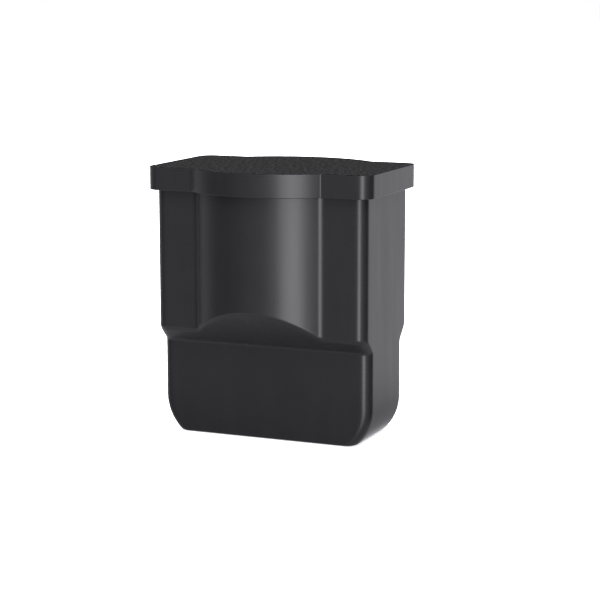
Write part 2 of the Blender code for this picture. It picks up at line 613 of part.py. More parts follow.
# ---------------------------------------------------------------- odour filter
def make_filter():
    """Frame under the lid's panel, its charcoal pad, and the slotted door that closes it."""
    low_x = FILTER_LOW_X
    high_x = FILTER_HIGH_X
    half_y = FILTER_WIDTH / 2
    low_z = UNDER_PANEL - FILTER_HEIGHT
    inside = (low_x + FILTER_WALL, -half_y + FILTER_WALL, high_x - FILTER_WALL, half_y - FILTER_WALL)
    frame = loft("filter_frame", [rectangle(low_x, -half_y, high_x, half_y, low_z),
                                  rectangle(low_x, -half_y, high_x, half_y, UNDER_PANEL),
                                  rectangle(*inside, UNDER_PANEL), rectangle(*inside, low_z)],
                 black_plastic, closed=True)
    pad = box("filter_pad", (inside[0] + FIT, inside[1] + FIT, low_z + FIT),
              (inside[2] - FIT, inside[3] - FIT, UNDER_PANEL - FIT), charcoal_felt)
    rounded(pad, FIT)
    hinge_x = high_x + HINGE_RADIUS + TOUCH
    hinge_z = low_z - TOUCH - DOOR_THICK / 2
    pin_end = half_y - TOUCH
    lying_rod("filter_hinge_pin", hinge_x, hinge_z, -pin_end, pin_end, HINGE_PIN, steel)
    hole = lying_rod("hinge_way", hinge_x, hinge_z, -FILTER_WIDTH, FILTER_WIDTH, HINGE_PIN + FIT, None)
    for side, rear in ((-1, "front"), (1, "rear")):
        ends = sorted((side * half_y, side * (half_y - LUG_WIDTH)))
        lug = box(f"lug_{rear}", (high_x - FILTER_WALL / 2, ends[0], hinge_z - HINGE_RADIUS),
                  (hinge_x + HINGE_RADIUS, ends[1], low_z + 2 * HINGE_RADIUS), None)
        combine(frame, lug, "UNION")
    combine(frame, hole, "DIFFERENCE")
    door_low = low_z - TOUCH - DOOR_THICK
    door_end = half_y - LUG_WIDTH - TOUCH
    door = box("filter_door", (low_x, -door_end, door_low), (hinge_x, door_end, door_low + DOOR_THICK),
               black_plastic)
    barrel = lying_rod("barrel", hinge_x, hinge_z, -door_end, door_end, HINGE_RADIUS, None)
    tab = box("tab", (low_x - TAB_REACH, -TAB_WIDTH / 2, door_low), (low_x + DOOR_THICK, TAB_WIDTH / 2,
                                                                     door_low + DOOR_THICK), None)
    combine(door, barrel, "UNION")
    combine(door, tab, "UNION")
    combine(door, hole, "DIFFERENCE")
    for spot, x in enumerate(slot_places(DOOR_SLOT_PITCH)):
        way = box(f"slot_{spot}", (x - DOOR_SLOT_WIDTH / 2, -SLOT_LENGTH / 2, door_low - DOOR_THICK),
                  (x + DOOR_SLOT_WIDTH / 2, SLOT_LENGTH / 2, low_z + TOUCH), None)
        combine(door, way, "DIFFERENCE")


make_housing()
make_bucket()
make_lid()
make_panel()
column_low, column_top = make_column()
make_plate(make_ram(column_low, column_top))
make_filter()
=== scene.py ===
import json
import math

import bpy
import numpy as np
from mathutils import Matrix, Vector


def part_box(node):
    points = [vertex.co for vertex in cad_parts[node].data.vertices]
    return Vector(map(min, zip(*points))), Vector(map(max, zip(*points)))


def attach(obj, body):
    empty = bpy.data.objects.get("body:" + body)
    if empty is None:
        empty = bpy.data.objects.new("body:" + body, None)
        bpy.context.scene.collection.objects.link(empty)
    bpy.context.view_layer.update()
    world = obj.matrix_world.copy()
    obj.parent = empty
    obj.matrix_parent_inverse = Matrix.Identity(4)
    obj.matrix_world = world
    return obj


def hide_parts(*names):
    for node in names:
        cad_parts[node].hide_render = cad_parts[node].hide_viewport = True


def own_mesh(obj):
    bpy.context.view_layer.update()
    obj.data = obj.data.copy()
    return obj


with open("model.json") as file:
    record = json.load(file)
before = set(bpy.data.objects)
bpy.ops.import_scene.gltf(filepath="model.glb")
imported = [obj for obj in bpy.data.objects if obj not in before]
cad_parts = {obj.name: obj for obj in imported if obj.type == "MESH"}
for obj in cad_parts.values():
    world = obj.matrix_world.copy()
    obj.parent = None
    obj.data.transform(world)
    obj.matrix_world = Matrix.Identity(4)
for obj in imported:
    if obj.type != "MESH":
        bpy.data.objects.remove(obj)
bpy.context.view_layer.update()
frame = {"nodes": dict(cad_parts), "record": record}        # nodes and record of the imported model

print("frame loaded:", len(frame["nodes"]), "nodes")


camera = {
    "lens": 114.25, "sensor": 36.0,      # mm
    "yaw": 23.007, "pitch": 9.701, "roll": -0.054,      # degrees
    "place": (0.94722, -2.17552, 0.57305),
}
studio = {
    "strength": 5.8,      # radiance where the share is 1
    "floorSize": 40.0, "floorGlow": 0.62, "floorColour": 0.80,
    "shadowShare": 0.52, "shadowStart": 0.08, "shadowEnd": 0.55,      # painted shadow round the bin on the floor, seen only by the bin: its darkness and how far it reaches, in metres
    # share of strength straight above and below, and the heights of direction where it starts and is full
    "overhead": (0.90, 0.45, 0.85),
    "below": (0.17, -0.30, -0.60),
    "tint": 1.06,         # blue against red and green
    # azimuth in degrees from the front, positive to the right, and the share of strength there
    "surround": [(-180, 0.12), (-165, 0.55), (-145, 0.60), (-132, 0.14), (-105, 0.09), (-88, 0.095),
                 (-68, 0.025), (-48, 0.03), (-24, 0.068), (-4, 0.097), (8, 0.14), (17, 0.80), (32, 0.92),
                 (41, 0.20), (56, 0.12), (75, 0.06), (100, 0.02), (130, 0.02), (145, 0.04), (154, 0.17),
                 (166, 0.17), (180, 0.12)],
}


def addCamera(settings):
    # Looks along the yaw and pitch; the roll turns the picture about that direction.
    yaw, pitch, roll = (math.radians(settings[key]) for key in ("yaw", "pitch", "roll"))
    turn = (Matrix.Rotation(yaw, 4, "Z") @ Matrix.Rotation(math.pi / 2 - pitch, 4, "X")
            @ Matrix.Rotation(roll, 4, "Z"))
    data = bpy.data.cameras.new("camera")
    data.lens = settings["lens"]
    data.sensor_width = settings["sensor"]
    data.clip_end = 200
    made = bpy.data.objects.new("camera", data)
    made.matrix_world = Matrix.Translation(settings["place"]) @ turn
    bpy.context.scene.collection.objects.link(made)
    bpy.context.scene.camera = made


def addSurround(settings):
    # A round studio. The azimuth is atan2(x, -y) of the direction, and its share comes from the table. Far
    # above and below the horizon it blends smoothly into an even one. The camera itself sees plain white.
    world = bpy.data.worlds.new("studio")
    bpy.context.scene.world = world
    world.use_nodes = True
    nodes, links = world.node_tree.nodes, world.node_tree.links
    nodes.clear()
    direction = nodes.new("ShaderNodeTexCoord")
    split = nodes.new("ShaderNodeSeparateXYZ")
    links.new(direction.outputs["Generated"], split.inputs[0])
    back = nodes.new("ShaderNodeMath")
    back.operation = "MULTIPLY"
    back.inputs[1].default_value = -1
    links.new(split.outputs["Y"], back.inputs[0])
    azimuth = nodes.new("ShaderNodeMath")
    azimuth.operation = "ARCTAN2"
    links.new(split.outputs["X"], azimuth.inputs[0])
    links.new(back.outputs[0], azimuth.inputs[1])
    share = nodes.new("ShaderNodeMapRange")
    share.inputs["From Min"].default_value = -math.pi
    share.inputs["From Max"].default_value = math.pi
    links.new(azimuth.outputs[0], share.inputs["Value"])
    ramp = nodes.new("ShaderNodeValToRGB")
    ramp.color_ramp.interpolation = "EASE"
    stops = ramp.color_ramp.elements
    while len(stops) < len(settings["surround"]):
        stops.new(0.5)
    for stop, (degrees, level) in zip(stops, settings["surround"]):
        stop.position = degrees / 360 + 0.5
        stop.color = (level, level, level * settings["tint"], 1)
    links.new(share.outputs[0], ramp.inputs[0])
    around = ramp.outputs["Color"]
    for level, start, end in (settings["overhead"], settings["below"]):
        height = nodes.new("ShaderNodeMapRange")
        height.interpolation_type = "SMOOTHSTEP"
        height.inputs["From Min"].default_value = start
        height.inputs["From Max"].default_value = end
        links.new(split.outputs["Z"], height.inputs["Value"])
        mix = nodes.new("ShaderNodeMix")
        mix.data_type = "RGBA"
        mix.inputs["B"].default_value = (level, level, level * settings["tint"], 1)
        links.new(height.outputs[0], mix.inputs["Factor"])
        links.new(around, mix.inputs["A"])
        around = mix.outputs["Result"]
    lit = nodes.new("ShaderNodeBackground")
    lit.inputs["Strength"].default_value = settings["strength"]
    links.new(around, lit.inputs["Color"])
    white = nodes.new("ShaderNodeBackground")
    white.inputs["Color"].default_value = (1, 1, 1, 1)
    path = nodes.new("ShaderNodeLightPath")
    pick = nodes.new("ShaderNodeMixShader")
    links.new(path.outputs["Is Camera Ray"], pick.inputs[0])
    links.new(lit.outputs[0], pick.inputs[1])
    links.new(white.outputs[0], pick.inputs[2])
    out = nodes.new("ShaderNodeOutputWorld")
    links.new(pick.outputs[0], out.inputs["Surface"])


def addFloor(settings):
    # A pale table that glows a little, seen from above by the camera. To the bin it is clear, except for a painted
    # shadow close by: a dark sheet, seen only in the bin's reflections and light, that stands in for the bin's own
    # shadow on the floor and darkens its lower parts. Its share falls smoothly from the first distance to the
    # second. Seen from below it is clear.
    half = settings["floorSize"] / 2
    mesh = bpy.data.meshes.new("studioFloor")
    corners = [(-half, -half, 0), (half, -half, 0), (half, half, 0), (-half, half, 0)]
    mesh.from_pydata(corners, [], [(0, 1, 2, 3)])
    floor = bpy.data.objects.new("studioFloor", mesh)
    bpy.context.scene.collection.objects.link(floor)
    pale = bpy.data.materials.new("paleFloor")
    pale.use_nodes = True
    shader = pale.node_tree.nodes["Principled BSDF"]
    shader.inputs["Base Color"].default_value = (settings["floorColour"],) * 3 + (1,)
    shader.inputs["Roughness"].default_value = 0.9
    shader.inputs["Specular IOR Level"].default_value = 0.0
    shader.inputs["Emission Color"].default_value = (1, 1, 1, 1)
    shader.inputs["Emission Strength"].default_value = settings["floorGlow"]
    mesh.materials.append(pale)
    nodes, links = pale.node_tree.nodes, pale.node_tree.links
    coordinates = nodes.new("ShaderNodeTexCoord")
    distance = nodes.new("ShaderNodeVectorMath")
    distance.operation = "LENGTH"
    links.new(coordinates.outputs["Object"], distance.inputs[0])
    fade = nodes.new("ShaderNodeMapRange")
    fade.interpolation_type = "SMOOTHERSTEP"
    fade.inputs["From Min"].default_value = settings["shadowEnd"]
    fade.inputs["From Max"].default_value = settings["shadowStart"]
    fade.inputs["To Max"].default_value = settings["shadowShare"]
    links.new(distance.outputs["Value"], fade.inputs["Value"])
    clear = nodes.new("ShaderNodeBsdfTransparent")
    dark = nodes.new("ShaderNodeEmission")
    dark.inputs["Strength"].default_value = 0
    # Painted shadow: dark near the bin and clear farther out, seen only by rays leaving the bin.
    paintedShadow = nodes.new("ShaderNodeMixShader")
    links.new(fade.outputs[0], paintedShadow.inputs[0])
    links.new(clear.outputs[0], paintedShadow.inputs[1])
    links.new(dark.outputs[0], paintedShadow.inputs[2])
    path = nodes.new("ShaderNodeLightPath")
    face = nodes.new("ShaderNodeNewGeometry")
    fromAbove = nodes.new("ShaderNodeMath")
    fromAbove.operation = "SUBTRACT"
    fromAbove.use_clamp = True
    links.new(path.outputs["Is Camera Ray"], fromAbove.inputs[0])
    links.new(face.outputs["Backfacing"], fromAbove.inputs[1])
    under = nodes.new("ShaderNodeMixShader")
    links.new(path.outputs["Is Camera Ray"], under.inputs[0])
    links.new(paintedShadow.outputs[0], under.inputs[1])
    links.new(clear.outputs[0], under.inputs[2])
    pick = nodes.new("ShaderNodeMixShader")
    links.new(fromAbove.outputs[0], pick.inputs[0])
    links.new(under.outputs[0], pick.inputs[1])
    links.new(shader.outputs[0], pick.inputs[2])
    links.new(pick.outputs[0], nodes["Material Output"].inputs["Surface"])
    floor.visible_shadow = False


addCamera(camera)
addSurround(studio)
addFloor(studio)
bpy.context.scene.view_settings.view_transform = "Standard"
print("camera, surround and floor made")


def newMaterial(name, colour, roughness, metallic=0.0, specular=0.5):
    # A Principled material whose even values sit on the shader's own sockets.
    made = bpy.data.materials.new(name)
    made.use_nodes = True
    shader = made.node_tree.nodes["Principled BSDF"]
    shader.inputs["Base Color"].default_value = (*colour, 1)
    shader.inputs["Roughness"].default_value = roughness
    shader.inputs["Metallic"].default_value = metallic
    shader.inputs["Specular IOR Level"].default_value = specular
    return made, shader


def addPattern(made, stretch, scale, detail, low, high, roughness=0.5):
    # Noise on the piece's own coordinates, stretched along an axis: its middle range, from 0.3 to 0.7, is
    # mapped to run from low to high.
    nodes, links = made.node_tree.nodes, made.node_tree.links
    coordinates = nodes.new("ShaderNodeTexCoord")
    mapping = nodes.new("ShaderNodeMapping")
    mapping.inputs["Scale"].default_value = stretch
    links.new(coordinates.outputs["Object"], mapping.inputs["Vector"])
    pattern = nodes.new("ShaderNodeTexNoise")
    pattern.inputs["Scale"].default_value = scale
    pattern.inputs["Detail"].default_value = detail
    pattern.inputs["Roughness"].default_value = roughness
    links.new(mapping.outputs["Vector"], pattern.inputs["Vector"])
    spread = nodes.new("ShaderNodeMapRange")
    spread.inputs["From Min"].default_value = 0.3
    spread.inputs["From Max"].default_value = 0.7
    spread.inputs["To Min"].default_value = low
    spread.inputs["To Max"].default_value = high
    links.new(pattern.outputs["Fac"], spread.inputs["Value"])
    return spread.outputs[0]


def addBump(made, shader, heights, depth):
    # Heights from 0 to 1 become a relief of that depth in metres; reliefs are laid over each other.
    nodes, links = made.node_tree.nodes, made.node_tree.links
    bump = nodes.new("ShaderNodeBump")
    bump.inputs["Strength"].default_value = 1.0
    bump.inputs["Distance"].default_value = depth
    links.new(heights, bump.inputs["Height"])
    if shader.inputs["Normal"].is_linked:
        links.new(shader.inputs["Normal"].links[0].from_socket, bump.inputs["Normal"])
    links.new(bump.outputs["Normal"], shader.inputs["Normal"])


def addTint(made, shader, amount, first, second):
    # The colour drifts between two close tones.
    nodes, links = made.node_tree.nodes, made.node_tree.links
    mix = nodes.new("ShaderNodeMix")
    mix.data_type = "RGBA"
    mix.inputs["A"].default_value = (*first, 1)
    mix.inputs["B"].default_value = (*second, 1)
    links.new(amount, mix.inputs["Factor"])
    links.new(mix.outputs["Result"], shader.inputs["Base Color"])


satin = {"colour": (0.0078, 0.0078, 0.0083), "light": (0.0094, 0.0094, 0.0098), "roughness": 0.29}
# In grain, light is the painted highlight colour on the grain's high spots and colour is the hollows.
grain = {"colour": (0.0006, 0.0006, 0.0006), "light": (0.0250, 0.0250, 0.0245), "roughness": 0.85,
         "scale": 230, "relief": 0.0010}


def makeSatinBlack():
    # Moulded black plastic: fine spark texture, drifting gloss and faint upright flow marks.
    made, shader = newMaterial("satinBlack", satin["colour"], satin["roughness"])
    links = made.node_tree.links
    addTint(made, shader, addPattern(made, (1, 1, 1), 26, 3, 0, 1), satin["colour"], satin["light"])
    gloss = addPattern(made, (1, 1, 0.12), 60, 4, satin["roughness"] - 0.02, satin["roughness"] + 0.03)
    links.new(gloss, shader.inputs["Roughness"])
    addBump(made, shader, addPattern(made, (1, 1, 1), 1500, 2, 0, 1), 0.000004)
    addBump(made, shader, addPattern(made, (1, 1, 0.05), 90, 2, 0, 1), 0.000022)
    return made


def makeGrainedTop():
    # Lid's top: a moulded leather-like grain in relief. The same pattern paints its high spots lighter, a painted
    # highlight in place of light catching the bumps, since the finish has no specular reflection.
    made, shader = newMaterial("grainedTop", grain["colour"], grain["roughness"], specular=0.0)
    grainAndHighlight = addPattern(made, (1, 1, 1), grain["scale"], 3, 0, 1, roughness=0.7)
    addTint(made, shader, grainAndHighlight, grain["colour"], grain["light"])
    addBump(made, shader, grainAndHighlight, grain["relief"])
    addBump(made, shader, addPattern(made, (1, 1, 1), 1400, 2, 0, 1), 0.00008)
    return made


def makeBucketGrey():
    # Grey bucket plastic: soft satin with long upright rub marks.
    made, shader = newMaterial("bucketGrey", (0.23, 0.24, 0.25), 0.46)
    drift = addPattern(made, (1, 1, 1), 18, 4, 0, 1)
    addTint(made, shader, drift, (0.215, 0.225, 0.235), (0.25, 0.26, 0.27))
    made.node_tree.links.new(addPattern(made, (1, 1, 0.06), 220, 4, 0.38, 0.56), shader.inputs["Roughness"])
    addBump(made, shader, addPattern(made, (1, 1, 1), 1200, 2, 0, 1), 0.000012)
    return made


def makeRubber():
    # Matt rubber with a dusty drift and a fine dull grain.
    made, shader = newMaterial("darkRubber", (0.018, 0.018, 0.018), 0.72, specular=0.35)
    dust = addPattern(made, (1, 1, 1), 70, 4, 0, 1)
    addTint(made, shader, dust, (0.014, 0.014, 0.014), (0.028, 0.027, 0.026))
    addBump(made, shader, addPattern(made, (1, 1, 1), 2600, 3, 0, 1), 0.00003)
    return made


def makeAcetal():
    # Machined white plastic with fine turning lines.
    made, shader = newMaterial("whiteAcetal", (0.78, 0.77, 0.73), 0.32)
    addTint(made, shader, addPattern(made, (1, 1, 1), 90, 3, 0, 1), (0.75, 0.74, 0.70), (0.81, 0.80, 0.77))
    addBump(made, shader, addPattern(made, (0.1, 0.1, 1), 3000, 2, 0, 1), 0.000012)
    return made


def makeMetal(name, colour, light, low, high, stretch, scale):
    # Turned or drawn metal: fine lines across the stretch, with gloss that changes from line to line.
    made, shader = newMaterial(name, colour, (low + high) / 2, metallic=1.0)
    addTint(made, shader, addPattern(made, (1, 1, 1), 55, 4, 0, 1), colour, light)
    made.node_tree.links.new(addPattern(made, stretch, scale, 4, low, high), shader.inputs["Roughness"])
    addBump(made, shader, addPattern(made, stretch, scale * 1.7, 2, 0, 1), 0.000008)
    return made


def makeFelt():
    # Carbon felt: matted fibres with a soft sheen.
    made, shader = newMaterial("carbonFelt", (0.030, 0.030, 0.030), 0.95, specular=0.1)
    fibres = addPattern(made, (1, 1, 1), 900, 6, 0, 1)
    addTint(made, shader, fibres, (0.018, 0.018, 0.018), (0.07, 0.07, 0.068))
    addBump(made, shader, addPattern(made, (1, 0.25, 1), 1300, 5, 0, 1, roughness=0.8), 0.0003)
    shader.inputs["Sheen Weight"].default_value = 0.3
    return made


finishes = {
    "black_plastic": makeSatinBlack(), "grained_top": makeGrainedTop(), "grey_plastic": makeBucketGrey(),
    "black_rubber": makeRubber(), "white_acetal": makeAcetal(), "charcoal_felt": makeFelt(),
    "aluminium": makeMetal("anodisedAluminium", (0.70, 0.71, 0.72), (0.78, 0.79, 0.80), 0.24, 0.36,
                           (0.04, 0.04, 1), 900),
    "steel": makeMetal("platedSteel", (0.52, 0.53, 0.54), (0.62, 0.62, 0.61), 0.20, 0.34,
                       (0.05, 0.05, 1), 1200),
}
finishes["grained_plastic"] = finishes["black_plastic"]
print("materials made:", len(finishes))


def softProfile(points, radius, steps=5, loop=True):
    # Each corner P of a profile becomes the curve (1-s)^2 A + 2 s(1-s) P + s^2 B between the points A and B
    # that lie a rounding length from P on its two sides, with one more point beyond each of them.
    points = np.asarray(points, dtype=float)
    toLast = np.roll(points, 1, axis=0) - points
    toNext = np.roll(points, -1, axis=0) - points
    lastLength = np.linalg.norm(toLast, axis=1, keepdims=True)
    nextLength = np.linalg.norm(toNext, axis=1, keepdims=True)
    cut = np.minimum(radius, 0.3 * np.minimum(lastLength, nextLength))
    before, after = toLast / lastLength * cut, toNext / nextLength * cut
    s = np.linspace(0, 1, steps)[:, None, None]
    curve = points + (1 - s) ** 2 * before + s ** 2 * after
    curve = np.concatenate([(points + 1.5 * before)[None], curve, (points + 1.5 * after)[None]])
    if loop:
        return curve.transpose(1, 0, 2).reshape(-1, 2)
    inner = curve[:, 1:-1].transpose(1, 0, 2).reshape(-1, 2)
    return np.vstack([points[:1], inner, points[-1:]])


def turnedRings(profile, x=0.0, y=0.0, around=96):
    # A point (r, z) of the profile goes to (x + r cos a, y + r sin a, z).
    profile = np.asarray(profile, dtype=float)
    a = np.linspace(0, 2 * math.pi, around, endpoint=False)
    r, z = profile[:, :1], profile[:, 1:]
    return np.stack([x + r * np.cos(a), y + r * np.sin(a), z + 0 * a], axis=-1)


def softMin(a, b, width):
    # The lower of a and b, with the corner between them rounded where they differ by less than width.
    h = np.clip(0.5 + 0.5 * (b - a) / width, 0, 1)
    return b * (1 - h) + a * h - width * h * (1 - h)


def softMax(a, b, width):
    # The higher of a and b, as the lower of their negatives.
    return -softMin(-a, -b, width)


clearance = 0.0003      # running and seating gap between neighbouring pieces
columns = {"bulge": 46, "hollow": 14, "flat": 12, "corner": 14, "side": 12}
lowShell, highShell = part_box("housing_shell")
lowLid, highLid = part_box("lid_shell")
reach = 0.0300      # the bulges past the flats
bodyForm = {
    "halfWidth": highShell.x, "halfDepth": highShell.y - reach, "corner": 0.0128,
    "bulgeRadius": 0.1300, "hollow": 0.0140,
    "setBack": 0.0171, "drop": 0.0172, "shoulderTop": highLid.z - 0.2037,
    "endRadius": 0.0610, "endCentre": lowShell.z + 0.0460,
    "crest": 0.0034, "foot": 0.0022,      # softening of the shoulder's upper and lower edge
}
bodyForm["bulgeCentre"] = bodyForm["bulgeRadius"] - reach - bodyForm["halfDepth"]
overhang = highLid.x - highShell.x
lidForm = {
    "halfWidth": highLid.x, "halfDepth": bodyForm["halfDepth"] + overhang, "corner": 0.0162,
    "bulgeRadius": bodyForm["bulgeRadius"] + overhang, "hollow": 0.0035,
    "bulgeCentre": bodyForm["bulgeCentre"],
}


def frontColumns(form, inset):
    # Half of a bulged front from its middle, moved inwards by inset. On the bulge x = R sin t and the depth
    # is R cos t - c; in the hollow beside it the same with its own radius turned over; then a flat.
    corner = max(form["corner"] - inset, form["corner"] / 4)
    halfWidth, halfDepth = form["halfWidth"] - inset, form["halfDepth"] - inset
    radius, hollow = form["bulgeRadius"] - inset, form["hollow"] + inset
    span = form["bulgeCentre"] + halfDepth + hollow
    hollowX = math.sqrt((radius + hollow) ** 2 - span ** 2)
    turn = math.atan2(hollowX, span)
    t = np.linspace(0, turn, columns["bulge"])
    u = np.linspace(turn, 0, columns["hollow"])[1:]
    flat = np.linspace(0, 1, columns["flat"])[1:]
    x = np.concatenate([radius * np.sin(t), hollowX - hollow * np.sin(u),
                        hollowX + flat * (halfWidth - corner - hollowX)])
    depth = np.concatenate([radius * np.cos(t) - form["bulgeCentre"],
                            halfDepth + hollow - hollow * np.cos(u), np.full(len(flat), halfDepth)])
    return x, depth, corner


def wholeRing(x, depth, halfWidth, corner, z):
    # The front half-columns go on round a quarter circle and along the side; four mirrored quarters
    # make the ring, anticlockwise from above.
    t = np.linspace(0, math.pi / 2, columns["corner"])[1:]
    side = np.linspace(1, 0, columns["side"])[1:]
    straight = depth[-1] - corner
    qx = np.concatenate([x, halfWidth - corner + corner * np.sin(t), np.full(len(side), halfWidth)])
    qd = np.concatenate([depth, straight + corner * np.cos(t), straight * side])
    ringX = np.concatenate([qx, qx[-2::-1], -qx[1:], -qx[-2:0:-1]])
    ringY = np.concatenate([-qd, qd[-2::-1], qd[1:], -qd[-2:0:-1]])
    return np.stack([ringX, ringY, np.full(len(ringX), z)], axis=-1)


def bodyRing(inset, z):
    # Ring of the housing's form at one height. The width narrows by R (1 - cos) at the lower ends, and the
    # depth is the bulged wall, cut by the slope under it, but no less than the set-back lower wall.
    form = bodyForm
    x, wall, corner = frontColumns(form, inset)
    radius = form["endRadius"] - inset
    below = min(max((form["endCentre"] - z) / radius, 0.0), 1.0)
    fullWidth = form["halfWidth"] - inset
    halfWidth = fullWidth - radius * (1 - math.sqrt(1 - below ** 2))
    lower = form["halfDepth"] - form["setBack"] - inset
    lift = inset * (math.hypot(form["drop"], form["setBack"]) - form["drop"]) / form["setBack"]
    slope = lower + (z - form["shoulderTop"] - lift + form["drop"]) * form["setBack"] / form["drop"]
    cut = softMin(wall, np.full(len(x), slope), form["crest"])
    depth = softMax(np.full(len(x), lower), cut, form["foot"])
    return wholeRing(x * (halfWidth - corner) / (fullWidth - corner), depth, halfWidth, corner, z)


def wallRing(inset, z):
    # Ring of the housing's bulged wall alone, without the slope and the lower ends, moved inwards by inset.
    x, depth, corner = frontColumns(bodyForm, inset)
    return wholeRing(x, depth, bodyForm["halfWidth"] - inset, corner, z)


def lidRing(inset, z):
    # Ring of the lid's outline, moved inwards by inset.
    x, depth, corner = frontColumns(lidForm, inset)
    return wholeRing(x, depth, lidForm["halfWidth"] - inset, corner, z)


def ringsAlong(ring, path):
    # One ring for each (inset, height) of the path.
    return np.array([ring(inset, z) for inset, z in path])


def shrunkRings(ring, shares):
    # Copies of a flat ring drawn in towards its middle M: each point P goes to M + share (P - M).
    middle = ring.mean(axis=0)
    return np.array([middle + (ring - middle) * share for share in shares])


def buildSurface(parts):
    # Point j of ring i joins j + 1 and ring i + 1 in a four-sided face. A run of rings is closed on itself,
    # or by a fan of triangles to the middle of each end.
    allPoints, allFaces, start = [], [], 0
    for rings, loop in parts:
        count, across = rings.shape[:2]
        points = rings.reshape(-1, 3)
        here = start + np.arange(count * across).reshape(count, across)
        beside = np.roll(here, -1, axis=1)
        ends = count if loop else count - 1
        above, aboveBeside = np.roll(here, -1, axis=0), np.roll(beside, -1, axis=0)
        faces = np.stack([here, beside, aboveBeside, above], axis=-1)[:ends].reshape(-1, 4).tolist()
        if not loop:
            points = np.vstack([points, rings[0].mean(axis=0), rings[-1].mean(axis=0)])
            first = np.full(across, start + len(points) - 2)
            last = first + 1
            faces += np.stack([beside[0], here[0], first], axis=-1).tolist()
            faces += np.stack([here[-1], beside[-1], last], axis=-1).tolist()
        allFaces += faces
        allPoints.append(points)
        start += len(points)
    return np.vstack(allPoints), allFaces


def addPiece(name, parts, body, slot, *replaced):
    # One object from its surfaces, riding on a body in place of its CAD nodes.
    points, faces = buildSurface(parts)
    mesh = bpy.data.meshes.new(name)
    mesh.from_pydata(points.tolist(), [], faces)
    mesh.shade_smooth()
    mesh.materials.append(finishes[slot])
    made = bpy.data.objects.new(name, mesh)
    bpy.context.scene.collection.objects.link(made)
    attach(made, body)
    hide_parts(*replaced)
    return made


housing = {
    "wall": 0.0028, "edge": 0.0020, "rimEdge": 0.0007,
    "notchHalf": 0.0330, "notchDepth": 0.0080, "notchBlend": 0.0035,
    "notchStretch": 0.030,      # height of wall that the dip draws down with it
}


def edgeCurve(radius, steps):
    # Quarter circle from a flat bottom to an upright wall, as (inset, height) offsets.
    t = np.linspace(0, math.pi / 2, steps)
    return np.stack([radius * (1 - np.sin(t)), radius * (1 - np.cos(t))], axis=-1)


def wallHeights(bottom, top, fine):
    # Heights up a wall, closest together where the shoulder and the bulge's underside bend.
    form = bodyForm
    bendLow = form["shoulderTop"] - form["drop"] - 0.004
    bendTop = form["shoulderTop"] + reach + 0.005
    return np.concatenate([np.linspace(bottom, form["endCentre"], 8 + 16 * fine)[1:],
                           np.linspace(form["endCentre"], bendLow, 4 + 6 * fine)[1:],
                           np.linspace(bendLow, bendTop, 26 + 44 * fine)[1:],
                           np.linspace(bendTop, top, 6 + 8 * fine)[1:]])


def notched(rings, low, high):
    # Finger notches: the upper part of both sides dips by a window that is flat in the middle and eases
    # out at its ends.
    x, y, z = rings[..., 0], rings[..., 1], rings[..., 2]
    ease = np.clip((housing["notchHalf"] - np.abs(y)) / housing["notchBlend"] + 0.5, 0, 1)
    window = ease * ease * (3 - 2 * ease) * (np.abs(x) > bodyForm["halfWidth"] * 0.95)
    rise = np.clip((z - low) / (high - low), 0, 1)
    rings[..., 2] = z - housing["notchDepth"] * window * rise
    return rings


def makeHousing():
    # The body's ring carried up the outside from (0, bottom), over a rounded rim one wall wide, and down
    # the inside at inset = wall to the floor, one wall above the bottom.
    wall, edge, soft = housing["wall"], housing["edge"], housing["rimEdge"]
    bottom, rim = lowShell.z, highShell.z
    under = rim - 2 * soft
    outer = [(0.0, z) for z in wallHeights(bottom + edge, under, 1)]
    top = softProfile([(0, under), (0, rim), (wall, rim), (wall, under)], soft, 5, loop=False)
    inner = [(wall, z) for z in wallHeights(bottom + wall + edge, under, 0)][::-1]
    lowEdge = edgeCurve(edge, 6) + (0, bottom)
    innerEdge = (edgeCurve(edge, 4) + (wall, bottom + wall))[::-1]
    base = [(3 * edge, bottom), (1.4 * edge, bottom)]
    inside = [(wall + 1.4 * edge, bottom + wall), (wall + 3 * edge, bottom + wall)]
    rings = ringsAlong(bodyRing, [*base, *lowEdge, *outer, *top[1:], *inner[1:], *innerEdge, *inside])
    rings = notched(rings, rim - housing["notchStretch"], rim)
    rings = np.concatenate([shrunkRings(rings[0], (0.3, 0.7)), rings, shrunkRings(rings[-1], (0.7, 0.3))])
    addPiece("housing", [(rings, False)], "housing", "black_plastic", "housing_shell")


foot = {"soft": 0.0008, "dish": 0.0005, "dishRadius": 0.6, "padRadius": 0.7, "middle": 0.002}


def makeFeet():
    # Each foot is its profile turned about its own upright axis, with a shallow dish underneath.
    for spot in ("front_left", "front_right", "rear_left", "rear_right"):
        low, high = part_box("foot_" + spot)
        x, y, radius = (low.x + high.x) / 2, (low.y + high.y) / 2, (high.x - low.x) / 2
        dish, middle = low.z + foot["dish"], foot["middle"]
        profile = softProfile([(middle, dish), (radius * foot["dishRadius"], dish),
                               (radius * foot["padRadius"], low.z), (radius, low.z), (radius, high.z),
                               (middle, high.z)], foot["soft"], 5, loop=False)
        addPiece("foot_pad_" + spot, [(turnedRings(profile, x, y, 64), False)], "housing", "black_rubber",
                 "foot_" + spot)


makeHousing()
makeFeet()
print("housing made")


bucket = {"flange": 0.0025, "gap": 0.0040, "wall": 0.0020, "edge": 0.0022, "soft": 0.0006}
bagRing = {"skirt": 0.0015, "flange": 0.0020, "soft": 0.0005}


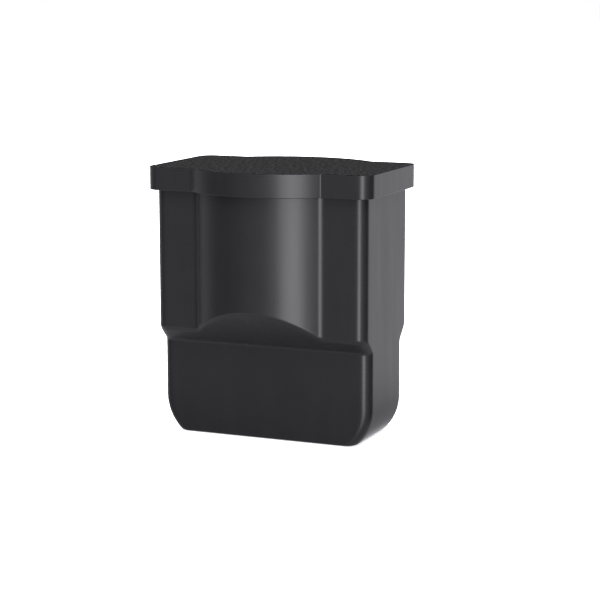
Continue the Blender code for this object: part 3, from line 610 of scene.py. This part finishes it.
def makeBucket():
    # The body's ring at inset = gap up the outside, out under the flange, over it, and down the inside at
    # inset = gap + wall to the floor.
    low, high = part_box("bucket_shell")
    outside, edge, soft = bucket["gap"], bucket["edge"], bucket["soft"]
    inside = outside + bucket["wall"]
    under = high.z - bucket["flange"]
    floor = low.z + bucket["wall"]
    outer = [(outside, z) for z in wallHeights(low.z + edge, under - 3 * soft, 0)]
    top = softProfile([(outside, under - 3 * soft), (outside, under), (0, under), (0, high.z),
                       (inside, high.z), (inside, high.z - 3 * soft)], soft, 4, loop=False)
    inner = [(inside, z) for z in wallHeights(floor + edge, high.z - 3 * soft, 1)][::-1]
    lowEdge = edgeCurve(edge, 4) + (outside, low.z)
    innerEdge = (edgeCurve(edge, 6) + (inside, floor))[::-1]
    path = [(outside + 2 * edge, low.z), *lowEdge, *outer, *top[1:], *inner[1:], *innerEdge,
            (inside + 2 * edge, floor)]
    rings = ringsAlong(bodyRing, path)
    rings = np.concatenate([shrunkRings(rings[0], (0.3, 0.7)), rings, shrunkRings(rings[-1], (0.7, 0.3))])
    addPiece("bucket", [(rings, False)], "bucket", "grey_plastic", "bucket_shell")


def makeBagRing():
    # An angle section of skirt and flange carried round the wall's outline.
    low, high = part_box("bag_ring")
    edge = bodyForm["halfWidth"] - high.x
    outside = bucket["gap"] + bucket["wall"] + clearance
    inside = outside + bagRing["skirt"]
    under = high.z - bagRing["flange"]
    profile = softProfile([(edge, under), (edge, high.z), (inside, high.z), (inside, low.z),
                           (outside, low.z), (outside, under)], bagRing["soft"], 4)
    addPiece("bag_holder", [(ringsAlong(wallRing, profile), True)], "bucket", "black_plastic", "bag_ring")


makeBucket()
makeBagRing()
print("bucket made")


lid = {
    "wall": 0.0026, "top": 0.0030, "topEdge": 0.0007, "rimEdge": 0.0009, "seal": 0.0050, "sealSoft": 0.0006,
}


def makeLid():
    # The lid's ring from the ceiling down the inside, round the rim, up the outside and over a small
    # rounded edge onto the flat top.
    wall, rim, top = lid["wall"], lowLid.z, highLid.z
    ceiling = top - lid["top"]
    corners = [(wall, ceiling), (wall, rim), (0, rim), (0, top)]
    path = softProfile(corners, lid["rimEdge"], 6, loop=False)[1:-1]
    crown = edgeCurve(lid["topEdge"], 7)[::-1] * (1, -1) + (0, top)
    path = np.vstack([[(4 * wall, ceiling), (1.3 * wall, ceiling), (wall, ceiling - 0.0004)], path,
                      [(0, rim + 0.004), (0, (rim + top) / 2), (0, top - 0.0025)], crown,
                      [(0.0016, top), (0.004, top)]])
    rings = ringsAlong(lidRing, path)
    rings = np.concatenate([shrunkRings(rings[0], (0.3, 0.8)), rings,
                            shrunkRings(rings[-1], (0.8, 0.5, 0.2))])
    made = addPiece("lid_cap", [(rings, False)], "lid", "grained_plastic", "lid_shell")
    made.data.materials.append(finishes["grained_top"])
    heights = np.array([face.center.z for face in made.data.polygons])
    made.data.polygons.foreach_set("material_index", (heights > top - lid["topEdge"]).astype(np.int32))


def makeSeal():
    # A strip with a pointed lower lip, carried round the wall's outline.
    low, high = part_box("lid_seal")
    edge = bodyForm["halfWidth"] - high.x
    third, inside = low.z + (high.z - low.z) / 3, edge + lid["seal"]
    profile = softProfile([(edge, third), (edge, high.z), (inside, high.z), (inside, third),
                           ((edge + inside) / 2, low.z)], lid["sealSoft"], 4)
    addPiece("rim_seal", [(ringsAlong(wallRing, profile), True)], "lid", "black_rubber", "lid_seal")


screw = {"head": 0.0022, "shank": 0.0014, "inset": 0.0003, "arms": 0.35}      # inset sets the head's face


def makeScrews():
    # Pan heads with a cross recess, a star-shaped dip: the three inner rings' radius is multiplied by
    # 1 + arms cos 4a.
    for name in sorted(name for name in frame["nodes"] if "screw" in name):
        low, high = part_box(name)
        x, y, radius = (low.x + high.x) / 2, (low.y + high.y) / 2, (high.x - low.x) / 2
        shank, face = screw["shank"], low.z + screw["inset"]
        neck = face + screw["head"]
        profile = np.vstack([[(0.0003, face + 0.0007), (0.0007, face + 0.0006), (0.0011, face)],
                             softProfile([(0.0012, face), (radius * 0.75, face),
                                          (radius, face + screw["head"] / 2), (radius, neck), (shank, neck),
                                          (shank, high.z - shank), (shank / 3, high.z)],
                                         0.0005, 5, loop=False)])
        rings = turnedRings(profile, x, y, 48)
        spin = np.arctan2(rings[..., 1] - y, rings[..., 0] - x)
        star = 1 + screw["arms"] * np.cos(4 * spin) * (np.arange(len(profile)) < 3)[:, None]
        rings[..., 0] = x + (rings[..., 0] - x) * star
        rings[..., 1] = y + (rings[..., 1] - y) * star
        addPiece(name + "_head", [(rings, False)], "lid", "steel", name)


makeLid()
makeSeal()
makeScrews()
print("lid made")


column = {
    "tubeWall": 0.0020, "rodWall": 0.0020, "disc": 0.0040, "discBore": 0.004, "socketWall": 0.0040,
    "capFloor": 0.0040, "soft": 0.0004,
}
spring = {"turns": 7.0, "wire": 0.0020, "closed": 0.09}      # closed is the share of the wire at each end
plate = {
    "floor": 0.0030, "wall": 0.0026, "skirt": 0.0200, "border": 0.012, "rib": 0.0026, "ribTop": 0.0150,
    "bossWall": 0.0060, "bossFlare": 0.002, "bossRise": 0.010, "soft": 0.0008,
}


def makeColumn():
    # Tube, flange and end cap: each is its section turned about the middle axis.
    tubeLow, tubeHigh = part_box("column_tube")
    bore = tubeHigh.x - column["tubeWall"]
    profile = softProfile([(tubeHigh.x, tubeLow.z), (tubeHigh.x, tubeHigh.z), (bore, tubeHigh.z),
                           (bore, tubeLow.z)], column["soft"], 4)
    addPiece("guide_tube", [(turnedRings(profile), True)], "lid", "aluminium", "column_tube")
    low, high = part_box("column_flange")
    socket = tubeHigh.x + clearance
    under, outside, bore = high.z - column["disc"], socket + column["socketWall"], column["discBore"]
    profile = softProfile([(socket, low.z), (outside, low.z), (outside, under), (high.x, under),
                           (high.x, high.z), (bore, high.z), (bore, under), (socket, under)], 0.0008, 5)
    addPiece("guide_flange", [(turnedRings(profile), True)], "lid", "aluminium", "column_flange")
    low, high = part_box("column_end_cap")
    throat = rodRadius + clearance
    floor = low.z + column["capFloor"]
    profile = softProfile([(throat, low.z), (high.x, low.z), (high.x, high.z), (socket, high.z),
                           (socket, floor), (throat, floor)], 0.0007, 5)
    addPiece("guide_cap", [(turnedRings(profile), True)], "lid", "white_acetal", "column_end_cap")


def makeRod():
    # The rod, its collar and its bush are sections turned about the middle axis. The pin is turned upright,
    # and then (x, y, z) goes to (x, z, h - y) to lie through the boss at height h.
    low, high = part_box("ram_rod")
    bore = rodRadius - column["rodWall"]
    profile = softProfile([(rodRadius, low.z), (rodRadius, high.z), (bore, high.z), (bore, low.z)],
                          column["soft"], 4)
    addPiece("press_rod", [(turnedRings(profile), True)], "ram", "steel", "ram_rod")
    for name, made in (("rod_stop_collar", "stop_ring"), ("rod_top_bush", "slide_bush")):
        low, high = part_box(name)
        bore = rodRadius + clearance
        profile = softProfile([(high.x, low.z), (high.x, high.z), (bore, high.z), (bore, low.z)], 0.0003, 4)
        addPiece(made, [(turnedRings(profile), True)], "ram", "white_acetal", name)
    low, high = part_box("plate_pin")
    radius = high.x
    profile = softProfile([(0.0005, low.y), (radius, low.y), (radius, high.y), (0.0005, high.y)],
                          0.0004, 4, loop=False)
    upright = turnedRings(profile, 0, 0, 32)
    lying = np.stack([upright[..., 0], upright[..., 2], (low.z + high.z) / 2 - upright[..., 1]], axis=-1)
    addPiece("cross_pin", [(lying, False)], "ram", "steel", "plate_pin")


def makeSpring():
    # A round wire along a helix: angle 2 pi n s, and height 3 q^2 - 2 q^3 of the way up, where q runs from
    # 0 to 1 between the closed ends.
    low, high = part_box("ram_spring")
    wire = spring["wire"] / 2
    middle = high.x - wire
    s = np.linspace(0, 1, int(spring["turns"] * 40))
    turn = 2 * math.pi * spring["turns"] * s
    closed = spring["closed"]
    slack = np.clip((s - closed) / (1 - 2 * closed), 0, 1)
    share = slack * slack * (3 - 2 * slack)
    height = low.z + wire + (high.z - low.z - 2 * wire) * share
    centre = np.stack([middle * np.cos(turn), middle * np.sin(turn), height], axis=-1)
    along = np.gradient(centre, axis=0)
    along /= np.linalg.norm(along, axis=1, keepdims=True)
    outward = np.stack([np.cos(turn), np.sin(turn), 0 * turn], axis=-1)
    across = np.cross(along, outward)
    a = np.linspace(0, 2 * math.pi, 16, endpoint=False)
    rings = (centre[:, None] + wire * np.cos(a)[None, :, None] * outward[:, None]
             + wire * np.sin(a)[None, :, None] * across[:, None])
    rings = np.concatenate([shrunkRings(rings[0], (0.5,)), rings, shrunkRings(rings[-1], (0.5,))])
    made = addPiece("press_spring", [(rings, False)], "lid", "steel", "ram_spring")
    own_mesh(made)


def blockRings(low, high, soft):
    # An upright block with rounded corners and edges: a rounded rectangle carried up a rounded profile.
    t = np.linspace(0, math.pi / 2, 5)
    quarters = [(1, 1, t), (-1, 1, t + math.pi / 2), (-1, -1, t + math.pi), (1, -1, t + 1.5 * math.pi)]
    halfX, halfY = (high[0] - low[0]) / 2, (high[1] - low[1]) / 2
    path = softProfile([(2 * soft, low[2]), (0, low[2]), (0, high[2]), (2 * soft, high[2])],
                       soft, 4, loop=False)
    rings = []
    for inset, z in path:
        corner = max(soft - inset, soft / 5)
        x = np.concatenate([sx * (halfX - inset - corner) + corner * np.cos(a) for sx, sy, a in quarters])
        y = np.concatenate([sy * (halfY - inset - corner) + corner * np.sin(a) for sx, sy, a in quarters])
        x, y = x + (low[0] + high[0]) / 2, y + (low[1] + high[1]) / 2
        rings.append(np.stack([x, y, np.full(len(x), z)], axis=-1))
    return np.array(rings)


def makePlate():
    # A tray whose skirt follows the wall's outline, four ribs as soft blocks, and a turned boss; and a
    # wiper strip with a sloped top round the skirt.
    low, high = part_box("press_plate")
    soft, wall = plate["soft"], plate["wall"]
    inset = bodyForm["halfWidth"] - high.x
    bore = rodRadius + clearance
    bossRadius = bore + plate["bossWall"]
    skirtTop, border = low.z + plate["skirt"], inset + plate["border"]
    floor = low.z + plate["floor"]
    path = softProfile([(border, low.z), (inset, low.z), (inset, skirtTop), (inset + wall, skirtTop),
                        (inset + wall, floor), (border, floor)], soft, 5, loop=False)
    rings = ringsAlong(wallRing, path)
    tray = np.concatenate([shrunkRings(rings[0], (0.3, 0.7)), rings, shrunkRings(rings[-1], (0.7, 0.3))])
    parts = [(tray, False)]
    half, ribTop, ribLow = plate["rib"] / 2, low.z + plate["ribTop"], low.z + plate["floor"] / 2
    endX, endY = high.x - wall / 2, high.y - wall / 2
    sideX = (bodyForm["halfWidth"] + bossRadius) / 2
    sideY = bodyForm["halfDepth"] - inset - wall / 2
    for lowX, highX, lowY, highY in ((-endX, endX, -half, half), (-half, half, -endY, endY),
                                     (sideX - half, sideX + half, -sideY, sideY),
                                     (-sideX - half, half - sideX, -sideY, sideY)):
        parts.append((blockRings((lowX, lowY, ribLow), (highX, highY, ribTop), half * 0.6), False))
    boss = softProfile([(bore, ribLow), (bossRadius + plate["bossFlare"], ribLow),
                        (bossRadius, ribLow + plate["bossRise"]), (bossRadius, high.z), (bore, high.z)],
                       0.0010, 5)
    parts.append((turnedRings(boss), True))
    addPiece("press_tray", parts, "ram", "black_plastic", "press_plate")
    low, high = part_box("plate_wiper")
    edge = bodyForm["halfWidth"] - high.x
    width = inset - edge - clearance
    profile = softProfile([(edge, low.z), (edge + width / 3, high.z), (edge + width, high.z),
                           (edge + width, low.z)], 0.0005, 5)
    addPiece("wiper_lip", [(ringsAlong(wallRing, profile), True)], "ram", "black_rubber", "plate_wiper")


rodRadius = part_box("ram_rod")[1].x
makeColumn()
makeRod()
makeSpring()
makePlate()
print("column and ram made")


def finishCadNodes():
    # Each CAD node that still shows takes the finish of its material slot.
    slots = {part["node"]: part["material_slot"] for part in frame["record"]["subparts"]}
    for name, node in frame["nodes"].items():
        node.data.materials.clear()
        node.data.materials.append(finishes[slots[name]])


finishCadNodes()
